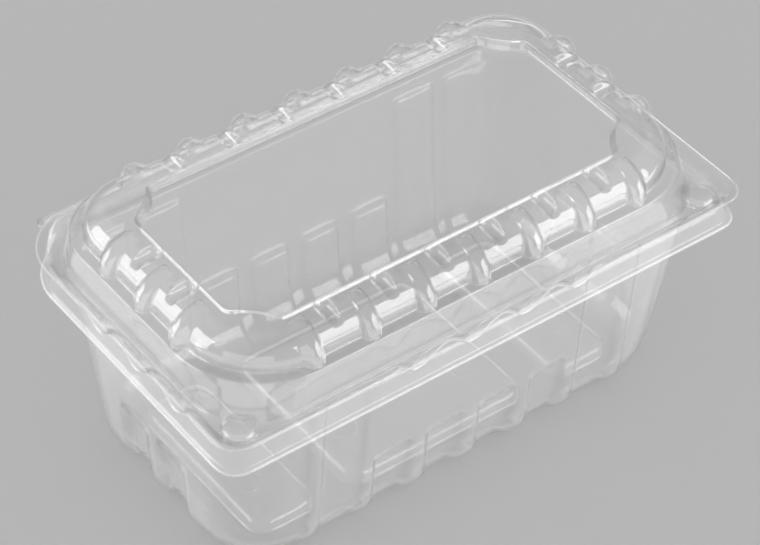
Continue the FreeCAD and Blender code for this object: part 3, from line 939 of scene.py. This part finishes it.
def make_tray(sizes, look):
    """The deep half, whose flared walls fold over into a lip."""
    (middle, middle_half), (end, end_half) = PADS
    long_edges = panel_columns(LONG_PANELS)
    long_edges += [sign * at for span in TALL_SPANS for at in span for sign in (-1, 1)]
    long_edges += [sign * (edge + inwards * step * MM) for sign in (-1, 1)
                   for edge, inwards in ((middle + middle_half, -1), (end - end_half, 1))
                   for step in PAD_COLUMNS]
    long_places = spaced(-TRAY_PIVOT[0], TRAY_PIVOT[0], TRAY_COLUMN_STEP, long_edges, TRAY_FINE)
    short_places = spaced(-TRAY_PIVOT[1], TRAY_PIVOT[1], TRAY_COLUMN_STEP,
                          panel_columns(SHORT_PANELS), TRAY_FINE)
    rays = Rays(*TRAY_PIVOT, long_places, short_places, TRAY_CORNER_TURNS)
    rows = section_rows(tray_stations(rays), rays)
    mesh = sheet_mesh("tray_sheet", rows, (long_places, short_places), -1)
    add_cups(mesh, SNAP_RADIUS - SNAP_GAP, SNAP_HEIGHT - sizes.thickness, TRAY_TOP_Z)
    piece = add_piece("tray_sheet", mesh)
    material = clear_plastic(
        look, "clear_tray_plastic", haze=look.tray_haze, roughness=0.10, head_on=0.03,
        steepest=0.15, outline=look.outline * TRAY_EDGE_SHADE, edge_out=TRAY_LIP_OUT)
    press_wall_panels(piece, sizes, material)
    press_floor_pads(piece, sizes, material)
    thicken(piece, sizes.thickness)
    cut_vents(piece, material)
    bake_modifiers(piece, material)
    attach(piece, "tray")
    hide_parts("base_tray")


# ---------------------------------------------------------------- hinge
HINGE_PLACES, ROLL_STEPS = 60, 14


def make_hinge(sizes, look):
    """The roll that joins the two halves: half a tube, open towards them."""
    points, faces = [], []
    for place in np.linspace(-HINGE_HALF, HINGE_HALF, HINGE_PLACES):
        for step in range(ROLL_STEPS + 1):
            angle = math.radians(-90 + 180 * step / ROLL_STEPS)
            points.append((place, HINGE_AT.y + HINGE_ROLL * math.cos(angle),
                           HINGE_AT.z + HINGE_ROLL * math.sin(angle)))
    arc = ROLL_STEPS + 1
    for index in range(HINGE_PLACES - 1):
        for step in range(ROLL_STEPS):
            a = index * arc + step
            faces.append((a, a + arc, a + arc + 1, a + 1))
    mesh = bpy.data.meshes.new("hinge_roll")
    mesh.from_pydata(points, [], faces)
    piece = add_piece("hinge_roll", mesh)
    material = clear_plastic(
        look, "clear_hinge_plastic", haze=look.haze, roughness=0.08, head_on=0.05, steepest=0.75,
        outline=look.outline)
    thicken(piece, sizes.thickness)
    bake_modifiers(piece, material)
    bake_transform(piece)


# ---------------------------------------------------------------- stage
CAMERA_TURN, CAMERA_TILT, CAMERA_ROLL = -37.6483, 42.5865, 1.3762      # in degrees
CAMERA_LENS = 139.97
# In rib pitches: how far the camera stands left, down and back of the aim, on its own axes.
CAMERA_AT = (0.051268, 1.222149, 44.780478)
AIM_Z = 4.10 * PITCH
SHEETS, LID_ONLY = ("lid_sheet", "tray_sheet", "hinge_roll"), ("lid_sheet",)
# Lights: name, where, distance, width, height, radiance and what they light. A softbox hangs in
# a direction, at its distance. A card has none: it lies on the floor with its middle there.
LIGHTS = (
    ("front_box", (0.48, -0.84, 0.265), 0.90, 0.88, 0.56, 4.0, SHEETS),
    ("left_box", (-0.84, 0.44, 0.265), 0.90, 0.76, 0.56, 4.0, SHEETS),
    ("back_box", (0.62, 0.75, 0.16), 1.4, 1.1, 0.4, 1.2, SHEETS),
    ("front_card", (0.42, -0.50, 0.001), None, 0.70, 0.60, 3.4, SHEETS),
    ("left_card", (-0.58, 0.36, 0.001), None, 0.66, 0.6, 3.5, SHEETS),
    ("corner_box", (-0.77, -0.635, 0.06), 0.6, 0.6, 0.3, 1.2, LID_ONLY),
    ("near_card", (-0.01, -0.143, 0.001), None, 0.38, 0.105, 1.45, LID_ONLY),
    ("side_card", (-0.16, 0.025, 0.001), None, 0.08, 0.23, 1.0, LID_ONLY),
    ("near_strip", (0.045, -0.028, 0.001), None, 0.19, 0.034, 1.65, LID_ONLY),
    ("left_strip", (-0.056, 0.062, 0.001), None, 0.034, 0.10, 1.2, LID_ONLY),
    ("corner_card", (-0.24, -0.335, 0.001), None, 0.58, 0.28, 0.9, LID_ONLY),
    ("west_card", (-0.36, -0.075, 0.001), None, 0.32, 0.24, 1.1, LID_ONLY),
)
LIGHTS_AIM = Vector((0, 0, 0.06))    # where the softboxes look: the middle of the punnet
FLOOR_REACH = 4.0
STUDIO_GREY = (0.78, 0.78, 0.78, 1.0)
CLEAR_BOUNCES = 48                   # enough for a line of sight through every wall of both halves


def camera_frame():
    """Right, up and back of the camera."""
    turn, tilt, roll = (math.radians(angle) for angle in (CAMERA_TURN, CAMERA_TILT, CAMERA_ROLL))
    level = math.cos(tilt)
    back = Vector((math.sin(turn) * level, -math.cos(turn) * level, math.sin(tilt)))
    right = Vector((math.cos(turn), math.sin(turn), 0))
    up = back.cross(right)
    rolled_right = right * math.cos(roll) + up * math.sin(roll)
    return rolled_right, back.cross(rolled_right), back


def make_camera():
    """Long lens from the front left and above, over the near corner."""
    right, up, back = camera_frame()
    across, high, away = CAMERA_AT
    at = (right * -across + up * -high + back * away) * PITCH + Vector((0, 0, AIM_Z))
    data = bpy.data.cameras.new("camera")
    data.lens = CAMERA_LENS
    data.sensor_width = 36.0
    camera = add_piece("camera", data)
    turn = Matrix((right, up, back)).transposed().to_4x4()
    camera.matrix_world = Matrix.Translation(at) @ turn
    bpy.context.scene.camera = camera


def add_light(name, where, away, wide, high, radiance, lit):
    """Soft rectangular light that the camera doesn't see and that reaches only some pieces."""
    data = bpy.data.lights.new(name, "AREA")
    data.shape = "RECTANGLE"
    data.size, data.size_y = wide, high
    data.energy = radiance * math.pi * wide * high
    light = add_piece(name, data)
    light.visible_camera = False
    if away is None:
        light.location = where
        light.rotation_euler = (math.pi, 0, 0)
    else:
        direction = Vector(where).normalized()
        light.location = LIGHTS_AIM + direction * away
        light.rotation_euler = direction.to_track_quat("Z", "Y").to_euler()
    reached = bpy.data.collections.new(name + " reach")
    for piece_name in lit:
        if piece_name in bpy.data.objects:
            reached.objects.link(bpy.data.objects[piece_name])
    light.light_linking.receiver_collection = reached


def make_floor(look):
    """The matt table. A constant glow stands in for it where the sheet mirrors it."""
    mesh = bpy.data.meshes.new("floor")
    corners = [(x * FLOOR_REACH, y * FLOOR_REACH, 0)
               for x, y in ((-1, -1), (1, -1), (1, 1), (-1, 1))]
    mesh.from_pydata(corners, [], [(0, 1, 2, 3)])
    floor = add_piece("floor", mesh)
    paint = bpy.data.materials.new("floor_paint")
    paint.use_nodes = True
    tree = paint.node_tree
    tree.nodes.clear()
    matt = add_node(tree, "ShaderNodeBsdfDiffuse", Color=(*look.floor, 1.0))
    glow = add_node(tree, "ShaderNodeEmission", Color=WHITE, Strength=look.table)
    mirrored = add_node(tree, "ShaderNodeLightPath").outputs["Is Glossy Ray"]
    table = mix_shaders(tree, mirrored, matt, glow)
    add_node(tree, "ShaderNodeOutputMaterial", Surface=table.outputs[0])
    mesh.materials.append(paint)


def make_stage(look):
    """Floor, studio, lights and camera."""
    scene = bpy.context.scene
    make_floor(look)
    world = bpy.data.worlds.new("studio")
    scene.world = world
    world.use_nodes = True
    world.node_tree.nodes["Background"].inputs[0].default_value = STUDIO_GREY
    for light in LIGHTS:
        add_light(*light)
    make_camera()
    scene.view_settings.view_transform = "Standard"
    scene.cycles.transparent_max_bounces = CLEAR_BOUNCES


# ---------------------------------------------------------------- add-on
class PUNNET_OT_lid(bpy.types.Operator):
    """Build the domed lid with its ribs, dents and vented lip"""
    bl_idname = "punnet.lid"
    bl_label = "Lid"

    def execute(self, context):
        make_lid(context.scene.punnet_sheet, context.scene.punnet_look)
        return {"FINISHED"}


class PUNNET_OT_tray(bpy.types.Operator):
    """Build the deep tray with its wall panels and floor pads"""
    bl_idname = "punnet.tray"
    bl_label = "Tray"

    def execute(self, context):
        make_tray(context.scene.punnet_sheet, context.scene.punnet_look)
        return {"FINISHED"}


class PUNNET_OT_hinge(bpy.types.Operator):
    """Build the hinge roll that joins the tray and the lid"""
    bl_idname = "punnet.hinge"
    bl_label = "Hinge"

    def execute(self, context):
        make_hinge(context.scene.punnet_sheet, context.scene.punnet_look)
        return {"FINISHED"}


class PUNNET_OT_stage(bpy.types.Operator):
    """Set up the floor, the soft lights and the camera"""
    bl_idname = "punnet.stage"
    bl_label = "Stage"

    def execute(self, context):
        make_stage(context.scene.punnet_look)
        return {"FINISHED"}


class PUNNET_PT_panel(bpy.types.Panel):
    """Sizes, colours and steps of the punnet"""
    bl_label = "Punnet"
    bl_space_type = "VIEW_3D"
    bl_region_type = "UI"
    bl_category = "Punnet"

    def draw(self, context):
        layout = self.layout
        for group in (context.scene.punnet_sheet, context.scene.punnet_look):
            box = layout.box()
            for name in group.__annotations__:
                box.prop(group, name)
        for operator in OPERATORS:
            layout.operator(operator.bl_idname)


OPERATORS = (PUNNET_OT_tray, PUNNET_OT_lid, PUNNET_OT_hinge, PUNNET_OT_stage)
CLASSES = (PunnetSheet, PunnetLook, *OPERATORS, PUNNET_PT_panel)


def register():
    for item in CLASSES:
        bpy.utils.register_class(item)
    bpy.types.Scene.punnet_sheet = bpy.props.PointerProperty(type=PunnetSheet)
    bpy.types.Scene.punnet_look = bpy.props.PointerProperty(type=PunnetLook)


def unregister():
    del bpy.types.Scene.punnet_look
    del bpy.types.Scene.punnet_sheet
    for item in reversed(CLASSES):
        bpy.utils.unregister_class(item)


def main():
    """Builds the whole punnet on its stage."""
    register()
    bpy.ops.punnet.tray()
    bpy.ops.punnet.lid()
    bpy.ops.punnet.hinge()
    bpy.ops.punnet.stage()


if __name__ == "__main__":
    main()
